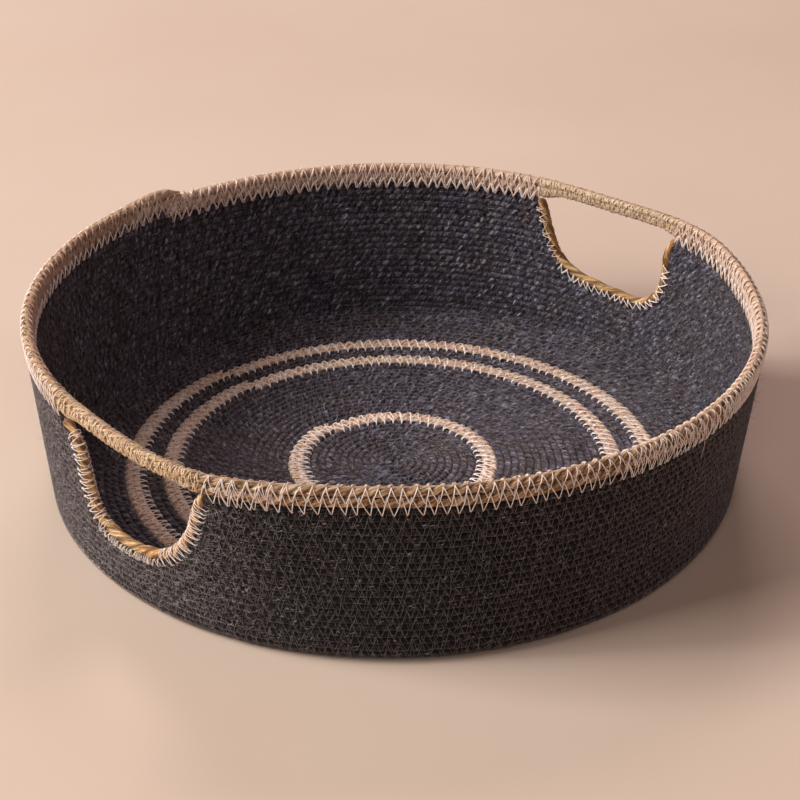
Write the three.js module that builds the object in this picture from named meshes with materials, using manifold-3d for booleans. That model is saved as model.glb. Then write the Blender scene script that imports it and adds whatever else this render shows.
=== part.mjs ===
// Round seagrass bowl: one layer of twisted cord, wound in rounds and sewn round to round.
// A handle opening is cut through the wall at each side, its edge is bound with cord, and two
// rounds of thicker pale cord make the rim and run free over the openings as the handles.
// Millimetres, +Z up. The handles lie on the X axis, and the bowl stands on Z = 0.
import * as THREE from "three";
import { mergeVertices } from "three/addons/utils/BufferGeometryUtils.js";
import Module from "manifold-3d";

// The cord layer
const LAYER = 4.4; // thickness of the base and wall, one dark cord pressed by its stitching
const GROOVE = 0.75; // depth of the groove between two rounds
const BASE_PITCH = 3.95; // width of one round of the base
const WALL_PITCH = 3.8; // height of one round of the wall
const SEAM = 0.3; // gap between neighbouring lengths of cord

// The bowl's form
const FOOT_RADIUS = 179.4; // where the line of the wall, carried down, meets the floor
const RIM_RADIUS = 187; // centre of the top round of the rim
const RIM_Z = 95.2; // height of that centre, halfway through its climb
const KNUCKLE = 7.1; // turn-up from base to wall, at the middle of the layer

// The pale rounds: the last round of each ring on the base, counted from the middle
const RING_ROUNDS = 2;
const INNER_RING_END = 14;
const SECOND_RING_END = 31;
const OUTER_RING_END = 36;
const FOOT_ROUNDS = 4; // rounds of the turn-up from base to wall
const PANEL_ROUNDS = 12; // rounds of the wall that the openings cut right through

// The rim cord and the cord that binds the openings
const RIM_CORD = 4.8;
const RIM_PITCH = 5.3; // climb of the rim cord in one round
const RIM_ROUNDS = 2;
const TRIM_CORD = 5;
const LAP_ANGLE = 86.25; // where the rim cord starts and ends, in degrees from +X
const LAP_STEP = 2.4; // length of the step that the last dark round leaves there, in degrees

// Centre lines of the bindings of the two openings, as distance across from the middle of the
// handle and height: each runs from one end under the rim down, round the bottom and up again.
// They are cut and bound by hand, so no side is quite like another.
const RIGHT_OPENING = [
  [48.2, 84.2], [44.9, 76.5], [42.6, 67.5], [39.3, 59.2], [34.6, 51.2], [28.3, 45.2],
  [19.5, 41.7], [9, 40.5], [-3, 40.1], [-14.5, 39.7], [-24, 40.9], [-31.3, 44.9],
  [-36, 51.3], [-38.8, 59.5], [-39.2, 68], [-39.4, 76], [-44, 84.4],
];
const LEFT_OPENING = [
  [51.9, 86.9], [48.2, 79], [45, 70], [41, 60.5], [35, 52], [27.5, 44.4],
  [18, 39.7], [6.5, 37.2], [-5, 36.2], [-15.5, 36.7], [-24.8, 39.3], [-31, 45.5],
  [-35, 54], [-37, 63], [-39, 72], [-43.6, 80], [-53, 84.4],
];
const OPENING_REACH = 110; // the cut runs up past the rim

// How far the handmade rim and foot are from round: ovals as a share of the radius, and the
// swells beside the handles as a distance, each with its place and its spread in degrees
const FOOT_OVAL = { share: 0.0156, at: 23.6 };
const RIM_OVAL = { share: 0.0104, at: -53.4 };
const RIM_SWELLS = [
  { at: -16, by: 8, over: 14.5 },
  { at: -4.5, by: -7, over: 18.5 },
  { at: 195, by: 9.5, over: 15.5 },
];

const COLUMNS = 48; // facets round the bowl
const INNER_COLUMNS = 24; // facets round the middle of the base
const CORD_SIDES = 8;
const COLUMN = 360 / COLUMNS;
const OPENING_STEPS = 24; // round an opening

const radians = THREE.MathUtils.degToRad;
const FLARE = Math.atan((RIM_RADIUS - FOOT_RADIUS) / RIM_Z);
const TURN = Math.PI / 2 - FLARE;
const TURN_END_Z = LAYER / 2 + KNUCKLE * (1 - Math.cos(TURN));
const FLAT_RADIUS = FOOT_RADIUS + TURN_END_Z * Math.tan(FLARE) - KNUCKLE * Math.sin(TURN);
const WALL_START = FLAT_RADIUS + KNUCKLE * TURN;
const WALL_TOP_Z = RIM_Z - RIM_PITCH * (RIM_ROUNDS - 1) - RIM_CORD / 2 - SEAM;
const WALL_END = WALL_START + (WALL_TOP_Z - TURN_END_Z) / Math.cos(FLARE);
const PANEL_START = WALL_END - PANEL_ROUNDS * WALL_PITCH;

const wasm = await Module();
wasm.setup();

// A point of the layer at a length along its middle from the axis, offset towards its outer face.
function layerPoint(along, offset) {
  const turned = THREE.MathUtils.clamp((along - FLAT_RADIUS) / KNUCKLE, 0, TURN);
  const beyond = Math.max(along - WALL_START, 0);
  const radius = Math.min(along, FLAT_RADIUS) + KNUCKLE * Math.sin(turned) + beyond * Math.cos(turned);
  const height = LAYER / 2 + KNUCKLE * (1 - Math.cos(turned)) + beyond * Math.sin(turned);
  return new THREE.Vector2(radius + offset * Math.sin(turned), height - offset * Math.cos(turned));
}

// The share of a round that the cord has climbed at an angle: it climbs towards smaller angles.
function climbAt(degrees) {
  return THREE.MathUtils.euclideanModulo(LAP_ANGLE - degrees, 360) / 360;
}

function ovalAt(oval, degrees) {
  return oval.share * Math.cos(radians(2 * (degrees - oval.at)));
}

function swellAt(degrees) {
  let sum = 0;
  for (const swell of RIM_SWELLS) {
    const away = THREE.MathUtils.euclideanModulo(degrees - swell.at + 180, 360) - 180;
    sum += swell.by * Math.exp(-((away / swell.over) ** 2));
  }
  return sum;
}

// What handwork adds to a round bowl's radius at an angle and a height. Inside the outer pale
// ring the base stays round.
function outOfRound(degrees, radius, height) {
  const ringEdge = OUTER_RING_END * BASE_PITCH;
  const outward = THREE.MathUtils.clamp((radius - ringEdge) / (FLAT_RADIUS - ringEdge), 0, 1);
  const up = THREE.MathUtils.clamp(height / RIM_Z, 0, 1);
  const foot = FOOT_RADIUS * ovalAt(FOOT_OVAL, degrees);
  const rim = RIM_RADIUS * ovalAt(RIM_OVAL, degrees) + swellAt(degrees);
  return outward ** 2 * THREE.MathUtils.lerp(foot, rim, up);
}

// How far the climb of the rounds lifts a point of the wall, from none at the base.
function liftAt(degrees, height) {
  return RIM_PITCH * (climbAt(degrees) - 0.5) * THREE.MathUtils.clamp(height / WALL_TOP_Z, 0, 1);
}

// A column of facets beside the lap is drawn in to it, so that the step there is short.
function columnAt(degrees) {
  const away = THREE.MathUtils.euclideanModulo(degrees - LAP_ANGLE + 180, 360) - 180;
  return Math.abs(away) < COLUMN ? degrees - away + (Math.sign(away) * LAP_STEP) / 2 : degrees;
}

// Turns a closed profile about the axis and gives it the handmade plan and the climb.
function turned(profile, columns) {
  const geometry = new THREE.LatheGeometry(profile, columns).rotateX(Math.PI / 2);
  const position = geometry.getAttribute("position");
  for (let i = 0; i < position.count; i++) {
    const height = position.getZ(i);
    const radius = Math.hypot(position.getX(i), position.getY(i));
    const degrees = columnAt(THREE.MathUtils.radToDeg(Math.atan2(position.getY(i), position.getX(i))));
    const reach = radius > 0 ? radius + outOfRound(degrees, radius, height) : 0;
    const lift = height > TURN_END_Z ? liftAt(degrees, height) : 0;
    position.setXYZ(i, reach * Math.cos(radians(degrees)), reach * Math.sin(radians(degrees)), height + lift);
  }
  return geometry;
}

// Points along one face of the layer: a crest on each round and a groove between rounds.
function ribbedFace(from, to, rounds, side) {
  const points = [];
  for (let half = 0; half <= 2 * rounds; half++) {
    const offset = half % 2 ? LAYER / 2 : LAYER / 2 - GROOVE;
    points.push(layerPoint(THREE.MathUtils.lerp(from, to, half / (2 * rounds)), side * offset));
  }
  return points;
}

// Rounds of the base from one radius to another: flat underneath, and on top either level or ribbed.
function baseRounds(from, to, ribs, columns) {
  const under = [layerPoint(from, LAYER / 2), layerPoint(to, LAYER / 2)];
  const level = [layerPoint(to, -LAYER / 2), layerPoint(from, -LAYER / 2)];
  const top = ribs > 0 ? ribbedFace(from, to, ribs, -1).reverse() : level;
  const profile = [...under, ...top];
  if (from > 0) profile.push(profile[0]);
  return turned(profile, columns);
}

// Rounds of the turn-up and wall: ribbed on both faces.
function wallRounds(from, to, rounds) {
  const outer = ribbedFace(from, to, rounds, 1);
  const inner = ribbedFace(from, to, rounds, -1).reverse();
  return turned([...outer, ...inner, outer[0]], COLUMNS);
}

// Points of a binding's centre line, set outward by a distance, in the plane of its opening.
function openingPoints(opening, outward) {
  const line = new THREE.SplineCurve(opening.map(([across, height]) => new THREE.Vector2(across, height)));
  const points = [];
  for (let i = 0; i <= OPENING_STEPS; i++) {
    const tangent = line.getTangentAt(i / OPENING_STEPS);
    const normal = new THREE.Vector2(-tangent.y, tangent.x);
    points.push(line.getPointAt(i / OPENING_STEPS).addScaledVector(normal, outward));
  }
  return points;
}

function solidOf(geometry) {
  const bare = geometry.clone();
  bare.deleteAttribute("normal");
  bare.deleteAttribute("uv");
  const merged = mergeVertices(bare, 1e-4);
  const vertProperties = merged.getAttribute("position").array;
  const triVerts = new Uint32Array(merged.index.array);
  return new wasm.Manifold(new wasm.Mesh({ numProp: 3, vertProperties, triVerts }));
}

function geometryOf(solid) {
  const { vertProperties, triVerts } = solid.getMesh();
  const geometry = new THREE.BufferGeometry();
  geometry.setAttribute("position", new THREE.BufferAttribute(vertProperties, 3));
  geometry.setIndex(new THREE.BufferAttribute(triVerts, 1));
  geometry.computeVertexNormals();
  return geometry;
}

// The solid cut out of the wall on one side, clear of the binding.
function openingCut(side, opening) {
  const edge = openingPoints(opening, TRIM_CORD / 2 + SEAM);
  const beside = (point, height) => new THREE.Vector2(point.x + Math.sign(point.x) * SEAM, height);
  const [first, last] = [edge[0], edge[OPENING_STEPS]];
  edge.unshift(beside(first, OPENING_REACH), beside(first, first.y));
  edge.push(beside(last, last.y), beside(last, OPENING_REACH));
  const outline = new THREE.Shape(edge);
  const depth = RIM_RADIUS / 3;
  const prism = new THREE.ExtrudeGeometry(outline, { depth, bevelEnabled: false });
  const across = new THREE.Vector3(0, 1, 0);
  const up = new THREE.Vector3(0, 0, 1);
  const out = new THREE.Vector3(1, 0, 0);
  prism.applyMatrix4(new THREE.Matrix4().makeBasis(across, up, out));
  prism.translate(RIM_RADIUS - depth / 2, 0, 0);
  return solidOf(side > 0 ? prism : prism.rotateZ(Math.PI));
}

const circle = (diameter) => new THREE.Shape().absarc(0, 0, diameter / 2, 0, 2 * Math.PI);

function cordAlong(points, diameter) {
  const extrudePath = new THREE.CatmullRomCurve3(points);
  const options = { steps: points.length - 1, curveSegments: CORD_SIDES / 2, extrudePath };
  return new THREE.ExtrudeGeometry(circle(diameter), options);
}

// A point at the middle of the wall, from its angle and its height.
function wallPoint(degrees, height) {
  const radius = FOOT_RADIUS + height * Math.tan(FLARE);
  const reach = radius + outOfRound(degrees, radius, height);
  return new THREE.Vector3(reach * Math.cos(radians(degrees)), reach * Math.sin(radians(degrees)), height);
}

// Centre of the rim cord after a number of rounds.
function rimPoint(round) {
  const height = RIM_Z + RIM_PITCH * (round + 0.5 - RIM_ROUNDS);
  return wallPoint(LAP_ANGLE - 360 * round, Math.min(height, RIM_Z)).setZ(height);
}

// The least gap between a wound cord and itself, from points half a round apart or more.
function leastGap(points, diameter) {
  let least = Infinity;
  points.forEach((point, i) => {
    for (const other of points.slice(i + COLUMNS / 2)) least = Math.min(least, point.distanceTo(other));
  });
  return least - diameter;
}

// The rim cord: one length, wound twice on top of the wall. It starts at the step that the last
// dark round leaves, and ends above its own start.
function rimCord() {
  const points = [];
  const firstColumn = Math.floor(LAP_ANGLE / COLUMN);
  for (let step = 0; step < RIM_ROUNDS * COLUMNS; step++) {
    const degrees = columnAt((firstColumn - step) * COLUMN);
    points.push(rimPoint((LAP_ANGLE - degrees) / 360));
  }
  points.push(rimPoint(RIM_ROUNDS));
  console.log(`rim_cord: least gap to itself ${leastGap(points, RIM_CORD).toFixed(2)} mm`);
  return cordAlong(points, RIM_CORD);
}

// The binding of one opening, tucked up under the lower round of the rim.
function openingTrim(side, opening) {
  const middle = side > 0 ? 0 : 180;
  const points = [];
  for (const { x: across, y: height } of openingPoints(opening, 0)) {
    const swing = THREE.MathUtils.radToDeg(Math.asin(across / Math.abs(wallPoint(middle, height).x)));
    const { x, y } = wallPoint(middle + swing, height);
    points.push(new THREE.Vector3(side * Math.sqrt(x ** 2 + y ** 2 - across ** 2), side * across, height));
  }
  return cordAlong(points, TRIM_CORD);
}

const darkCord = new THREE.MeshStandardMaterial({ color: 0x2d2a2f, roughness: 0.85, metalness: 0 });
const paleCord = new THREE.MeshStandardMaterial({ color: 0xc8a06c, roughness: 0.8, metalness: 0 });

const bowl = new THREE.Group();

function addPiece(name, geometry, material) {
  const mesh = new THREE.Mesh(geometry, material.clone());
  mesh.name = name;
  bowl.add(mesh);
}

// The base from the middle out. Only the pale rings are ribbed: the dark rounds are level.
function addBase() {
  const ring = { ribs: RING_ROUNDS, columns: COLUMNS, material: paleCord };
  const coil = { ribs: 0, columns: COLUMNS, material: darkCord };
  const coils = [
    { ...coil, name: "base_center_coil", last: INNER_RING_END - RING_ROUNDS, columns: INNER_COLUMNS },
    { ...ring, name: "base_inner_ring", last: INNER_RING_END },
    { ...coil, name: "base_middle_coil", last: SECOND_RING_END - RING_ROUNDS },
    { ...ring, name: "base_second_ring", last: SECOND_RING_END },
    { ...coil, name: "base_gap_coil", last: OUTER_RING_END - RING_ROUNDS },
    { ...ring, name: "base_outer_ring", last: OUTER_RING_END },
    { ...coil, name: "base_outer_coil", last: FLAT_RADIUS / BASE_PITCH },
  ];
  let from = 0;
  for (const { name, last, ribs, columns, material } of coils) {
    const to = last * BASE_PITCH;
    addPiece(name, baseRounds(from, to, ribs, columns), material);
    from = to + SEAM;
  }
}

function addWall() {
  const cuts = [openingCut(1, RIGHT_OPENING), openingCut(-1, LEFT_OPENING)];
  const cut = (geometry) => cuts.reduce((solid, opening) => solid.subtract(opening), solidOf(geometry));

  const footStart = FLAT_RADIUS + SEAM;
  const lowerStart = footStart + FOOT_ROUNDS * WALL_PITCH;
  const lowerEnd = PANEL_START - SEAM;
  const lowerRounds = Math.round((lowerEnd - lowerStart) / WALL_PITCH);
  addPiece("wall_foot_coil", wallRounds(footStart, lowerStart - SEAM, FOOT_ROUNDS), darkCord);
  addPiece("wall_lower_coil", geometryOf(cut(wallRounds(lowerStart, lowerEnd, lowerRounds))), darkCord);

  const upper = cut(wallRounds(PANEL_START, WALL_END, PANEL_ROUNDS));
  const span = 3 * RIM_RADIUS;
  const half = new THREE.BoxGeometry(span, span, span);
  for (const [name, side] of [["wall_front_coil", -1], ["wall_rear_coil", 1]]) {
    const halfSpace = solidOf(half.clone().translate(0, side * (span / 2 + SEAM), 0));
    addPiece(name, geometryOf(upper.intersect(halfSpace)), darkCord);
  }
}

addBase();
addWall();
addPiece("rim_cord", rimCord(), paleCord);
addPiece("right_opening_trim", openingTrim(1, RIGHT_OPENING), paleCord);
addPiece("left_opening_trim", openingTrim(-1, LEFT_OPENING), paleCord);

// The bowl stands with the middle of its box over the origin.
const middle = new THREE.Box3().setFromObject(bowl).getCenter(new THREE.Vector3());
bowl.position.set(-middle.x, -middle.y, 0);

export default bowl;
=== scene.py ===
import math

import bpy
import numpy as np
from mathutils import Matrix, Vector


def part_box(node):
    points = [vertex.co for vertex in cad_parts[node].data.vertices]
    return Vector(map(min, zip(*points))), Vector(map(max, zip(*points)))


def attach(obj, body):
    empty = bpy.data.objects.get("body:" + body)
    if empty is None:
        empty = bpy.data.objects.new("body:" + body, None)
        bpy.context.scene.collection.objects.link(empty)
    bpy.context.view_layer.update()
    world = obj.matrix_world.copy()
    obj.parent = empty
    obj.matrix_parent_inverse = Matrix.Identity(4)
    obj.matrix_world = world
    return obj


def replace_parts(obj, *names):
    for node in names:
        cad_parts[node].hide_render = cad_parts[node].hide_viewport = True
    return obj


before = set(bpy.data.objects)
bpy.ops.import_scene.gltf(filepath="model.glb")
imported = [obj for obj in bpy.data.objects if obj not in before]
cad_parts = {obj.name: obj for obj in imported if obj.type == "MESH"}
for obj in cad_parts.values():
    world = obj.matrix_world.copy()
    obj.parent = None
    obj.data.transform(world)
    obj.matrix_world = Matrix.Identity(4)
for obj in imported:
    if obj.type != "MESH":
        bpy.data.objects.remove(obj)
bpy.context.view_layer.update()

# The form of the bowl, as its solids have it
LAYER = 4.4  # thickness of the base and wall
BASE_PITCH = 3.95  # width of one round of the base
FOOT_RADIUS = 179.4  # where the line of the wall meets the floor
RIM_RADIUS = 187
RIM_Z = 95.2
KNUCKLE = 7.1  # radius of the turn-up from base to wall
WALL_TOP_Z = 87.2  # top of the dark rounds, halfway through their climb
RIM_PITCH = 5.3  # climb of the rim in one round
LIFT_TOP = 1.1  # where the rim's lift stops growing, as a share of WALL_TOP_Z
LAP_ANGLE = 86.25  # where the rim cord starts and ends, in degrees from +X
FOOT_OVAL = (0.0156, 23.6)  # share of the radius, and where it is widest, in degrees
RIM_OVAL = (0.0104, -53.4)
RIM_SWELLS = [(8, -16, 14.5), (-7, -4.5, 18.5), (9.5, 195, 15.5)]  # distance, place, spread

# The centre lines of the two openings' bindings: across from the middle of the handle, and up
RIGHT_OPENING = [
    (48.2, 84.2), (44.9, 76.5), (42.6, 67.5), (39.3, 59.2), (34.6, 51.2), (28.3, 45.2),
    (19.5, 41.7), (9, 40.5), (-3, 40.1), (-14.5, 39.7), (-24, 40.9), (-31.3, 44.9),
    (-36, 51.3), (-38.8, 59.5), (-39.2, 68), (-39.4, 76), (-44, 84.4),
]
LEFT_OPENING = [
    (51.9, 86.9), (48.2, 79), (45, 70), (41, 60.5), (35, 52), (27.5, 44.4),
    (18, 39.7), (6.5, 37.2), (-5, 36.2), (-15.5, 36.7), (-24.8, 39.3), (-31, 45.5),
    (-35, 54), (-37, 63), (-39, 72), (-43.6, 80), (-53, 84.4),
]
OPENING_TOP = 110  # an opening's outline is closed here, above the rim
OUTLINE_STEP = 2.5
BINDING_STEP = 0.8

# The count of rounds: one spiral from the middle of the base to the end of the rim
CORD_START = 0.12
INNER_RING = (12, 14)
SECOND_RING = (29, 31)
OUTER_RING = (34, 36)
BASE_ROUNDS = 44
FOOT_END = 48  # the cord of the turn-up ends here
PANEL_START = 55  # the openings cut the rounds above into two panels
WALL_ROUNDS = 67  # the dark rounds end here
RIM_ROUNDS = 69
LAPPED_END = 0.009  # share of a round over which the cord's end tapers on top of its own start

FLARE = math.atan((RIM_RADIUS - FOOT_RADIUS) / RIM_Z)
TURN = math.pi / 2 - FLARE
TURN_END_Z = LAYER / 2 + KNUCKLE * (1 - math.cos(TURN))
FLAT_RADIUS = FOOT_RADIUS + TURN_END_Z * math.tan(FLARE) - KNUCKLE * math.sin(TURN)
WALL_START = FLAT_RADIUS + KNUCKLE * TURN
WALL_END = WALL_START + (WALL_TOP_Z - TURN_END_Z) / math.cos(FLARE)
WALL_PITCH = (WALL_END - BASE_ROUNDS * BASE_PITCH) / (WALL_ROUNDS - BASE_ROUNDS)
OUT_OF_ROUND_FROM = OUTER_RING[1] * BASE_PITCH

# The cord: two strands laid together
DARK_LAY = 11  # length of one full twist
PALE_LAY = 12.4
JOIN = 2.5  # lengths of cord run into each other at a change of colour
JOIN_TURNS = 0.01  # more turns than a join is long
COLUMN_WIDTH = 1.3
CLOSED = 0.88  # how far a crease closes where rounds press on each other
PRESSING = 1.12  # each round lies a little into its neighbours
RIM_EASE = 0.07  # the rim's rounds less so
# Painted shade: the creases between strands and the grooves between rounds get a darker colour
STRAND_SHADE = 0.85
GROOVE_FROM = 0.66  # share of the half width where the painted shade of the groove between rounds starts
GROOVE_GAPE = 0.1  # wider on the wall's outer face
GROOVE_BLEND = 0.3
CREASE_INSIDE = 0.25  # the painted shade in creases is lighter on the inner face
RIM_CREASE_INSIDE = 0.08
HANDLE_SHADE_CUT = 0.6  # and on the handles
CUT_MARGIN = 1.2  # how far cut rounds reach under a binding
END_SIZE = 0.1

# The rim and handles
LOWER_RIM = 6.1  # height of the two natural rounds of the rim, the lower one pressed flat
UPPER_RIM = 4.9
RIM_THICK = 5.2
LAP_BLEND = 0.03  # share of a round over which one round becomes the next at the lap
HEAP_BACK, HEAP_SPREAD = 0.006, 0.014  # turns before RIM_ROUNDS, where the end lies heaped
HEAP_RISE, HEAP_WIDER, HEAP_THICKER = 1.3, 0.25, 0.1
HANDLE_HALF = 47  # from the middle of a handle to where its cord joins the wall
HANDLE_BLEND = 14
HANDLE_SQUEEZE = 0.27  # how far the thread draws the handle's two rounds together
PULLED_IN = 0.2  # how far the seam draws in the middle of the lower rim round
PULL_SHARPNESS = 14
RIM_PAINTED_LIGHT = 0.65  # share of painted light, a paler colour, on the rim's inner face
RIM_SHADE_DEGREES = (88, 208)  # degrees between which that face gets less of it, as painted shade, and a browner thread
RIM_SHADE_BLEND = 12
RIM_SHADE_SHARE = 0.5
TRIM_CORD = 5  # thickness of the bindings
TRIM_COLUMNS = 18
TRIM_DEEPER = 1.06

# The thread: along a seam from one zigzag to the next, and half the thread's thickness
DARK_SEAMS = [(1, 12), (14, 29), (31, 34), (36, 44), (44, 50), (50, 56), (56, 62), (62, 67)]
DARK_STITCH = 5.5
RIM_STITCH = 5.9
HANDLE_STITCH = 3.4  # on the handles the stitches lie closer
WRAP_STITCH = 4.6
DARK_THREAD = 0.1
PALE_THREAD = 0.25
DARK_HOLES = (-3.3, 4.1)  # of one stitch, from the edge between two rounds
CLEAR_OF_TRIM = 0.4
THREAD_STANDS = (0.9, 0.25)  # off the cord: share of the thread's radius, and distance
HOLE_SPREAD = 0.2
HOLE_SHARE = 0.06  # of a stitch, from its hole to the next point of its path
NUDGE = [0.001, 0.002, 0.003]  # gives a straight thread a plane to bend in

# The map for baking: where a round lies in its row, and a stitch in its cell
ROW_START, ROW_LENGTH, ROW_FOOT, ROW_HEIGHT = 0.015, 0.97, 0.03, 0.94
CELL_START, CELL_SIZE = 0.06, 0.88

# The stage
CAMERA_DISTANCE = 1376.26
CAMERA_LENS = 115.6
CAMERA_TURN = math.radians(-47.4)  # from the bowl's +X axis to the picture's right
CAMERA_RISE = math.radians(30.418)
CAMERA_SMALL_TURNS = [math.radians(x) for x in (-0.115, 1.511, 0.030)]  # pan, tilt and roll
FLOOR_SIZE = 16  # metres, as the lights' sizes are
FLOOR_SHADES = [(0.3, "#d5bda9"), (0.7, "#dcc6b3")]
LIGHT_DISTANCE = 4
LIGHT_SIZE = 1.5
LIGHTS = [  # degrees to the left of the camera, degrees up, watts and colour
    ("key", 90, 35, 126, "#fffdfb"),
    ("key_front", 70, 35, 83, "#fffdfb"),
    ("front", 0, 40, 26, "#fffbfa"),
    ("back", 180, 40, 45, "#ffecec"),
    ("right", -90, 35, 11, "#ffd8d4"),
]
GLOW_COLOUR, GLOW = "#ff9c88", 0.05  # what the room gives back

ring_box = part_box("base_inner_ring")
AXIS = [500 * (ring_box[0][i] + ring_box[1][i]) for i in (0, 1)] + [0]  # the coil's middle

rng = np.random.default_rng(7)


def smooth(x):
    """From 0 to 1 with level ends."""
    x = np.clip(x, 0, 1)
    return x * x * (3 - 2 * x)


def unit(vectors):
    """Vectors of length 1."""
    return vectors / np.maximum(np.linalg.norm(vectors, axis=-1, keepdims=True), 1e-9)


def layer(along, offset):
    """Radius and height in the cord layer, by length from the axis and offset outwards."""
    turned = np.clip((along - FLAT_RADIUS) / KNUCKLE, 0, TURN)
    beyond = np.maximum(along - WALL_START, 0)
    radius = np.minimum(along, FLAT_RADIUS) + KNUCKLE * np.sin(turned) + beyond * np.cos(turned)
    height = LAYER / 2 + KNUCKLE * (1 - np.cos(turned)) + beyond * np.sin(turned)
    return radius + offset * np.sin(turned), height - offset * np.cos(turned)


def lap_side(degrees):
    """Turns past the lap, from -0.5 to 0.5. The cord climbs towards smaller angles."""
    return ((LAP_ANGLE - degrees) / 360 + 0.5) % 1 - 0.5


def rim_lift(degrees, height):
    """What the thicker rim adds to the climb of the wall, softened at the lap."""
    past = lap_side(degrees)
    near = np.clip(past / LAP_BLEND, -1, 1)
    climb = past - 0.5 * near * (1.5 - 0.5 * near**2)
    return (RIM_PITCH - WALL_PITCH) * climb * np.clip(height / WALL_TOP_Z, 0, LIFT_TOP)


def out_of_round(degrees, radius, height):
    """What handwork adds to the radius of a round bowl."""
    outward = np.clip((radius - OUT_OF_ROUND_FROM) / (FLAT_RADIUS - OUT_OF_ROUND_FROM), 0, 1)
    foot = FOOT_RADIUS * FOOT_OVAL[0] * np.cos(np.radians(2 * (degrees - FOOT_OVAL[1])))
    rim = RIM_RADIUS * RIM_OVAL[0] * np.cos(np.radians(2 * (degrees - RIM_OVAL[1])))
    for by, at, over in RIM_SWELLS:
        away = (degrees - at + 180) % 360 - 180
        rim = rim + by * np.exp(-((away / over) ** 2))
    up = np.clip(height / RIM_Z, 0, 1)
    return outward**2 * (foot + (rim - foot) * up)


def place(along, degrees, offset):
    """Points of the bowl, in millimetres in the frame of the solids."""
    radius, height = layer(along, offset)
    reach = radius + out_of_round(degrees, radius, height)
    x = reach * np.cos(np.radians(degrees))
    y = reach * np.sin(np.radians(degrees))
    z = height + rim_lift(degrees, height) + 0 * x
    return np.stack([x, y, z], -1) + AXIS


def degrees_at(turn):
    """The angle from +X at which a turn is."""
    return LAP_ANGLE - 360 * turn


def handle_share(turn):
    """How much of its natural height the rim keeps: less where it runs free as a handle."""
    across = RIM_RADIUS * np.abs(np.sin(np.radians(degrees_at(turn))))
    on_side = np.abs(np.cos(np.radians(degrees_at(turn)))) > 0.5
    free = smooth((HANDLE_HALF - across) / HANDLE_BLEND) * on_side * (turn > WALL_ROUNDS)
    return 1 - HANDLE_SQUEEZE * free


def rim_shade_stretch(degrees):
    """Where the rim's inner face is in painted shade, browner and with a duller thread, from 0 to
    1.
    """
    degrees = degrees % 360
    return smooth((degrees - RIM_SHADE_DEGREES[0]) / RIM_SHADE_BLEND) * smooth((RIM_SHADE_DEGREES[1] - degrees) / RIM_SHADE_BLEND)


def lower_edge(turn):
    """Along the layer, the edge of the round at a turn that faces the round before it."""
    in_wall = BASE_ROUNDS * BASE_PITCH + WALL_PITCH * (turn - BASE_ROUNDS) - BASE_PITCH / 2
    along = np.where(turn < BASE_ROUNDS, BASE_PITCH * (turn - 0.5), in_wall)
    along = along + (BASE_PITCH - WALL_PITCH) / 2 * smooth(turn - BASE_ROUNDS)
    last = smooth((turn - WALL_ROUNDS - 1) / (2 * LAP_BLEND) + 0.5)
    drawn_up = (1 - handle_share(turn)) * (LOWER_RIM * (1 - last) + UPPER_RIM)
    return along + (LOWER_RIM - WALL_PITCH) * last + drawn_up


def lapped(turn):
    """The taper of the cord's end."""
    return 1 - 0.5 * smooth((turn - RIM_ROUNDS) / LAPPED_END)


def half_width(turn):
    """Half the width of the round at a turn, along the layer."""
    half = BASE_PITCH / 2 + (WALL_PITCH - BASE_PITCH) / 2 * smooth(turn - BASE_ROUNDS)
    lower = smooth((turn - WALL_ROUNDS) / (2 * LAP_BLEND) + 0.5)
    upper = smooth((turn - WALL_ROUNDS - 1) / (2 * LAP_BLEND) + 0.5)
    half = half + lower * (LOWER_RIM / 2 - half) + upper * (UPPER_RIM - LOWER_RIM) / 2
    return half * handle_share(turn) * lapped(turn)


def middle(turn):
    """Along the layer, the middle of the round at a turn."""
    return lower_edge(turn) + half_width(turn)


def half_thick(turn):
    """Half the thickness of the round at a turn, across the layer."""
    thicker = smooth((turn - WALL_ROUNDS) / (2 * LAP_BLEND) + 0.5)
    return (LAYER + thicker * (RIM_THICK - LAYER)) / 2 * lapped(turn)


# Length of cord from the middle of the base to each turn
TURNS = np.linspace(0, RIM_ROUNDS + 0.1, 40000)
RADII = layer(middle(TURNS), 0)[0]
LENGTHS = np.concatenate([[0], np.cumsum(np.diff(TURNS) * math.pi * (RADII[1:] + RADII[:-1]))])


def length_at(turn):
    """The length of cord from the middle of the base to a turn."""
    return np.interp(turn, TURNS, LENGTHS)


def turn_at(length):
    """The turn at a length of cord."""
    return np.interp(length, LENGTHS, TURNS)


def core_at(turn):
    """Points of the cord's middle line."""
    return place(middle(turn), degrees_at(turn), 0 * turn)


def run_along(line):
    """The distance of each of a line's points from its first one, along the line."""
    return np.concatenate([[0], np.cumsum(np.linalg.norm(np.diff(line, axis=0), axis=1))])


def evenly(line, spacing):
    """A line's points again, evenly spaced along it."""
    run = run_along(line)
    at = np.linspace(0, run[-1], int(run[-1] / spacing) + 1)
    return np.stack([np.interp(at, run, line[:, i]) for i in range(line.shape[1])], -1)


def opening_line(opening, outward=0, spacing=BINDING_STEP):
    """A smooth line through an opening's points, set outward by a distance."""
    knots = np.array([opening[0], *opening, opening[-1]], float)
    before, start, end, after = (knots[i : len(knots) - 3 + i] for i in range(4))
    leave, arrive = (end - before) / 2, (after - start) / 2
    part = np.linspace(0, 1, 12, endpoint=False)[:, None, None]
    curve = start + leave * part + (3 * (end - start) - 2 * leave - arrive) * part**2
    curve = curve + (2 * (start - end) + leave + arrive) * part**3
    line = np.concatenate([curve.transpose(1, 0, 2).reshape(-1, 2), knots[-1:]])
    line = evenly(line, spacing)
    tangent = unit(np.gradient(line, axis=0))
    return line + outward * np.stack([-tangent[:, 1], tangent[:, 0]], -1)


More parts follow.
